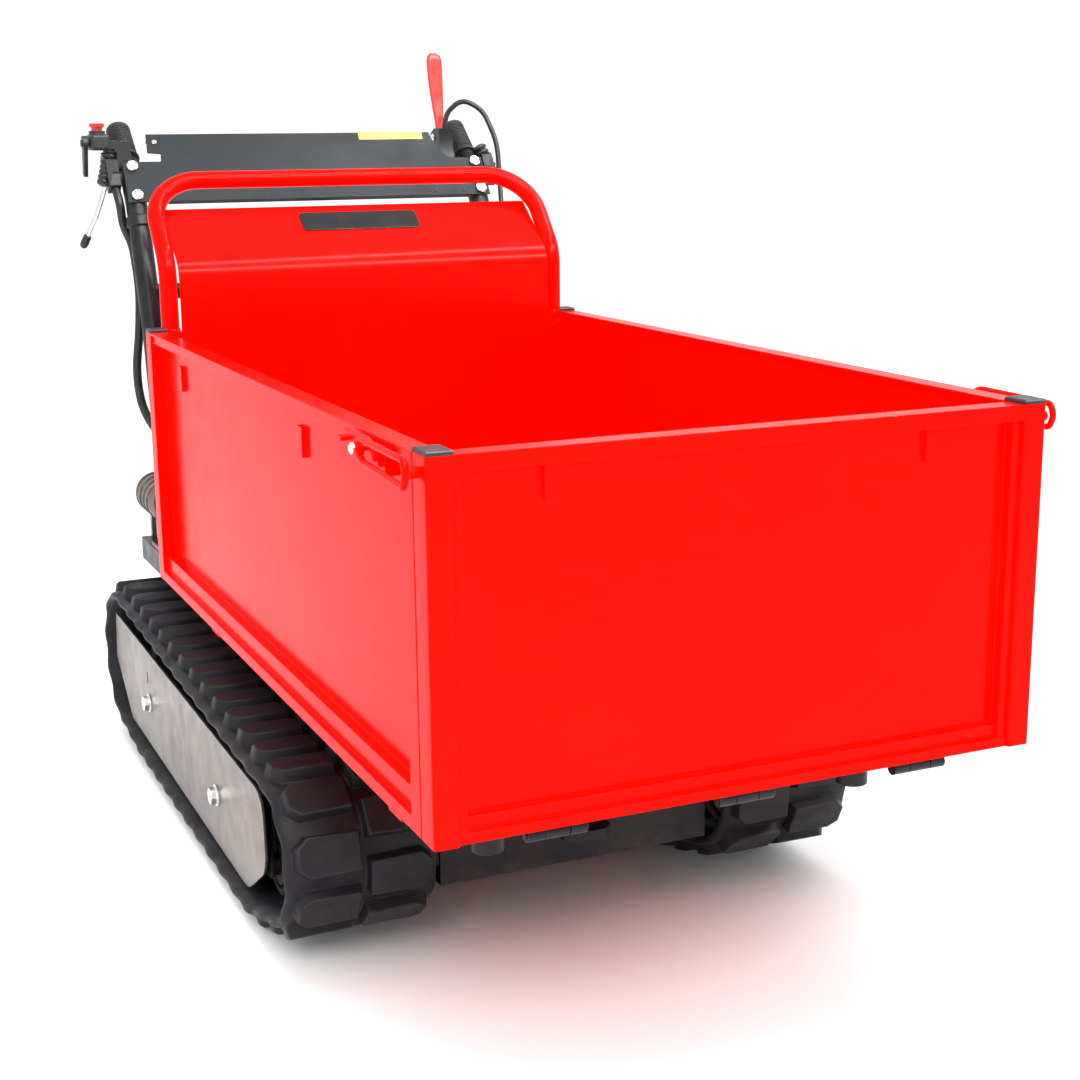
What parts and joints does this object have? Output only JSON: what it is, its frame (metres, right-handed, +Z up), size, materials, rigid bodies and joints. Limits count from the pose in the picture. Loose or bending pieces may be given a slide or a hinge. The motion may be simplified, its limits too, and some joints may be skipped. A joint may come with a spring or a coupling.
{
  "type": "tracked power wheelbarrow",
  "caption": "Walk-behind tracked dumper with a tipping, widening steel skip, fold-down gate and a small engine behind it.",
  "frame": {"origin": "on the ground, midway along and across the machine", "axes": "+X to the operator's left, -Y towards the skip's gate, +Z up"},
  "size_m": [0.724, 1.469, 1.0451],
  "materials": {
    "skip_paint": "gloss red paint",
    "frame_paint": "satin black paint",
    "panel_paint": "fine-textured dark grey powder coat",
    "track_rubber": "moulded black rubber, dusty on the lugs",
    "wheel_paint": "black paint worn to steel on the rims",
    "cover_steel": "satin steel plate",
    "bright_bolt": "bright zinc",
    "engine_cast": "sand-cast aluminium",
    "gearbox_cast": "dark painted casting",
    "shroud_plastic": "black moulded plastic",
    "tank_plastic": "red fuel tank",
    "filter_plastic": "black moulded plastic",
    "muffler_steel": "heat-stained steel",
    "pulley_iron": "machined cast iron",
    "belt_rubber": "matt belt rubber",
    "grip_rubber": "ribbed soft rubber",
    "lever_bright": "polished lever",
    "lever_red": "red moulded plastic",
    "cable_jacket": "semi-gloss cable jacket",
    "cap_plastic": "black end cap",
    "badge_plastic": "plain black plate"
  },
  "bodies": {
    "chassis": {"chassis_frame": "frame_paint", "track_frame_left": "frame_paint", "track_frame_right": "frame_paint", "rubber_track_left": "track_rubber", "rubber_track_right": "track_rubber", "track_cover_left": "cover_steel", "track_cover_right": "cover_steel", "fasteners": "bright_bolt", "gearbox": "gearbox_cast", "engine_platform": "frame_paint", "engine_block": "engine_cast", "fuel_tank": "tank_plastic", "air_filter": "filter_plastic", "muffler": "muffler_steel", "fan_housing": "shroud_plastic", "belt_guard": "frame_paint", "drive_belt": "belt_rubber", "handlebar": "frame_paint", "control_panel": "panel_paint", "grips": "grip_rubber", "cable_loom": "cable_jacket", "clutch_cable": "cable_jacket", "lever_clamps": "frame_paint", "skip_buffers": "belt_rubber", "switch_base": "cap_plastic"},
    "skip": {"skip_floor": "skip_paint", "rear_wall": "skip_paint", "tip_striker": "skip_paint", "hoop": "skip_paint", "rear_caps": "cap_plastic", "badge_plate": "badge_plastic"},
    "gate": {"gate_panel": "skip_paint", "gate_caps": "cap_plastic"},
    "side_left": {"side_panel_left": "skip_paint"},
    "side_right": {"side_panel_right": "skip_paint"},
    "latch_left": {"latch_lever_left": "skip_paint"},
    "latch_right": {"latch_lever_right": "skip_paint"},
    "bail_left": {"latch_bail_left": "skip_paint"},
    "bail_right": {"latch_bail_right": "skip_paint"},
    "tip_latch": {"tip_latch": "frame_paint"},
    "tension_arm": {"tension_arm": "frame_paint"},
    "engine_pulley": {"engine_pulley": "pulley_iron"},
    "input_pulley": {"input_pulley": "pulley_iron"},
    "clutch_lever": {"clutch_lever": "lever_red"},
    "steer_left": {"steering_lever_left": "lever_bright"},
    "steer_right": {"steering_lever_right": "lever_bright"},
    "throttle_lever": {"throttle_lever": "cap_plastic"},
    "stop_button": {"stop_button": "lever_red"},
    "gear_lever": {"gear_lever": "frame_paint"},
    "fuel_cap": {"fuel_cap": "filter_plastic"},
    "sprocket_left": {"sprocket_left": "wheel_paint"},
    "idler_left": {"idler_left": "wheel_paint"},
    "roller_front_left": {"roller_front_left": "wheel_paint"},
    "roller_middle_left": {"roller_middle_left": "wheel_paint"},
    "roller_rear_left": {"roller_rear_left": "wheel_paint"},
    "sprocket_right": {"sprocket_right": "wheel_paint"},
    "idler_right": {"idler_right": "wheel_paint"},
    "roller_front_right": {"roller_front_right": "wheel_paint"},
    "roller_middle_right": {"roller_middle_right": "wheel_paint"},
    "roller_rear_right": {"roller_rear_right": "wheel_paint"}
  },
  "joints": [
    {"name": "skip_tip", "type": "hinge", "parent": "chassis", "child": "skip", "pos_m": [0, -0.395, 0.27], "axis": [1, 0, 0], "range_deg": [0, 50]},
    {"name": "gate_fold", "type": "hinge", "parent": "skip", "child": "gate", "pos_m": [0, -0.717, 0.2926], "axis": [1, 0, 0], "range_deg": [0, 90]},
    {"name": "tip_latch_pull", "type": "hinge", "parent": "chassis", "child": "tip_latch", "pos_m": [0.232, 0.423, 0.334], "axis": [1, 0, 0], "range_deg": [-15, 0], "stiffness_Nm_per_rad": 3, "springref_deg": 5.73},
    {"name": "clutch_pull", "type": "hinge", "parent": "chassis", "child": "clutch_lever", "pos_m": [0.236, 0.669, 0.912], "axis": [1, 0, 0], "range_deg": [-60, 0], "stiffness_Nm_per_rad": 0.5, "springref_deg": 34.38},
    {"name": "belt_tension", "type": "hinge", "parent": "chassis", "child": "tension_arm", "pos_m": [0.145, 0.551, 0.418], "axis": [1, 0, 0], "range_deg": [-4.2, 0]},
    {"name": "engine_spin", "type": "hinge", "parent": "chassis", "child": "engine_pulley", "pos_m": [0.168, 0.49, 0.412], "axis": [1, 0, 0], "continuous": true},
    {"name": "input_spin", "type": "hinge", "parent": "chassis", "child": "input_pulley", "pos_m": [0.168, 0.52, 0.268], "axis": [1, 0, 0], "continuous": true},
    {"name": "throttle_set", "type": "hinge", "parent": "chassis", "child": "throttle_lever", "pos_m": [-0.34, 0.662, 0.908], "axis": [1, 0, 0], "range_deg": [0, 40]},
    {"name": "stop_press", "type": "slide", "parent": "chassis", "child": "stop_button", "axis": [0, 0, -1], "range_m": [0, 0.0025], "stiffness_N_per_m": 400, "springref_m": -0.002},
    {"name": "gear_select", "type": "hinge", "parent": "chassis", "child": "gear_lever", "pos_m": [0.04, 0.578, 0.325], "axis": [1, 0, 0], "range_deg": [-10, 6]},
    {"name": "cap_turn", "type": "hinge", "parent": "chassis", "child": "fuel_cap", "pos_m": [-0.05, 0.465, 0.638], "axis": [0, 0, 1], "range_deg": [0, 90]},
    {"name": "sprocket_left_spin", "type": "hinge", "parent": "chassis", "child": "sprocket_left", "pos_m": [-0.272, 0.548, 0.132], "axis": [1, 0, 0], "continuous": true},
    {"name": "idler_left_spin", "type": "hinge", "parent": "chassis", "child": "idler_left", "pos_m": [-0.272, -0.284, 0.131], "axis": [1, 0, 0], "continuous": true},
    {"name": "roller_front_left_spin", "type": "hinge", "parent": "chassis", "child": "roller_front_left", "pos_m": [-0.272, -0.175, 0.07], "axis": [1, 0, 0], "continuous": true},
    {"name": "roller_middle_left_spin", "type": "hinge", "parent": "chassis", "child": "roller_middle_left", "pos_m": [-0.272, 0.128, 0.07], "axis": [1, 0, 0], "continuous": true},
    {"name": "roller_rear_left_spin", "type": "hinge", "parent": "chassis", "child": "roller_rear_left", "pos_m": [-0.272, 0.431, 0.07], "axis": [1, 0, 0], "continuous": true},
    {"name": "side_left_slide", "type": "slide", "parent": "skip", "child": "side_left", "axis": [-1, 0, 0], "range_m": [0, 0.15]},
    {"name": "latch_left_throw", "type": "hinge", "parent": "side_left", "child": "latch_left", "pos_m": [-0.33, -0.628, 0.636], "axis": [1, 0, 0], "range_deg": [0, 120]},
    {"name": "bail_left_swing", "type": "hinge", "parent": "latch_left", "child": "bail_left", "pos_m": [-0.34, -0.605, 0.641], "axis": [1, 0, 0], "range_deg": [-100, 0]},
    {"name": "steer_left_pull", "type": "hinge", "parent": "chassis", "child": "steer_left", "pos_m": [-0.306, 0.669, 0.872], "axis": [1, 0, 0], "range_deg": [0, 30], "stiffness_Nm_per_rad": 0.5, "springref_deg": -28.65},
    {"name": "sprocket_right_spin", "type": "hinge", "parent": "chassis", "child": "sprocket_right", "pos_m": [0.272, 0.548, 0.132], "axis": [1, 0, 0], "continuous": true},
    {"name": "idler_right_spin", "type": "hinge", "parent": "chassis", "child": "idler_right", "pos_m": [0.272, -0.284, 0.131], "axis": [1, 0, 0], "continuous": true},
    {"name": "roller_front_right_spin", "type": "hinge", "parent": "chassis", "child": "roller_front_right", "pos_m": [0.272, -0.175, 0.07], "axis": [1, 0, 0], "continuous": true},
    {"name": "roller_middle_right_spin", "type": "hinge", "parent": "chassis", "child": "roller_middle_right", "pos_m": [0.272, 0.128, 0.07], "axis": [1, 0, 0], "continuous": true},
    {"name": "roller_rear_right_spin", "type": "hinge", "parent": "chassis", "child": "roller_rear_right", "pos_m": [0.272, 0.431, 0.07], "axis": [1, 0, 0], "continuous": true},
    {"name": "side_right_slide", "type": "slide", "parent": "skip", "child": "side_right", "axis": [1, 0, 0], "range_m": [0, 0.15]},
    {"name": "latch_right_throw", "type": "hinge", "parent": "side_right", "child": "latch_right", "pos_m": [0.33, -0.628, 0.636], "axis": [1, 0, 0], "range_deg": [0, 120]},
    {"name": "bail_right_swing", "type": "hinge", "parent": "latch_right", "child": "bail_right", "pos_m": [0.34, -0.605, 0.641], "axis": [1, 0, 0], "range_deg": [-100, 0]},
    {"name": "steer_right_pull", "type": "hinge", "parent": "chassis", "child": "steer_right", "pos_m": [0.306, 0.669, 0.872], "axis": [1, 0, 0], "range_deg": [0, 30], "stiffness_Nm_per_rad": 0.5, "springref_deg": -28.65}
  ],
  "couplings": [
    {"joint": "belt_tension", "follows": "clutch_pull", "ratio": 0.066667},
    {"joint": "engine_spin", "follows": "input_spin", "ratio": 2.1077},
    {"joint": "idler_left_spin", "follows": "sprocket_left_spin", "ratio": 1.2838},
    {"joint": "roller_front_left_spin", "follows": "sprocket_left_spin", "ratio": 2.375},
    {"joint": "roller_middle_left_spin", "follows": "sprocket_left_spin", "ratio": 2.375},
    {"joint": "roller_rear_left_spin", "follows": "sprocket_left_spin", "ratio": 2.375},
    {"joint": "idler_right_spin", "follows": "sprocket_right_spin", "ratio": 1.2838},
    {"joint": "roller_front_right_spin", "follows": "sprocket_right_spin", "ratio": 2.375},
    {"joint": "roller_middle_right_spin", "follows": "sprocket_right_spin", "ratio": 2.375},
    {"joint": "roller_rear_right_spin", "follows": "sprocket_right_spin", "ratio": 2.375}
  ]
}
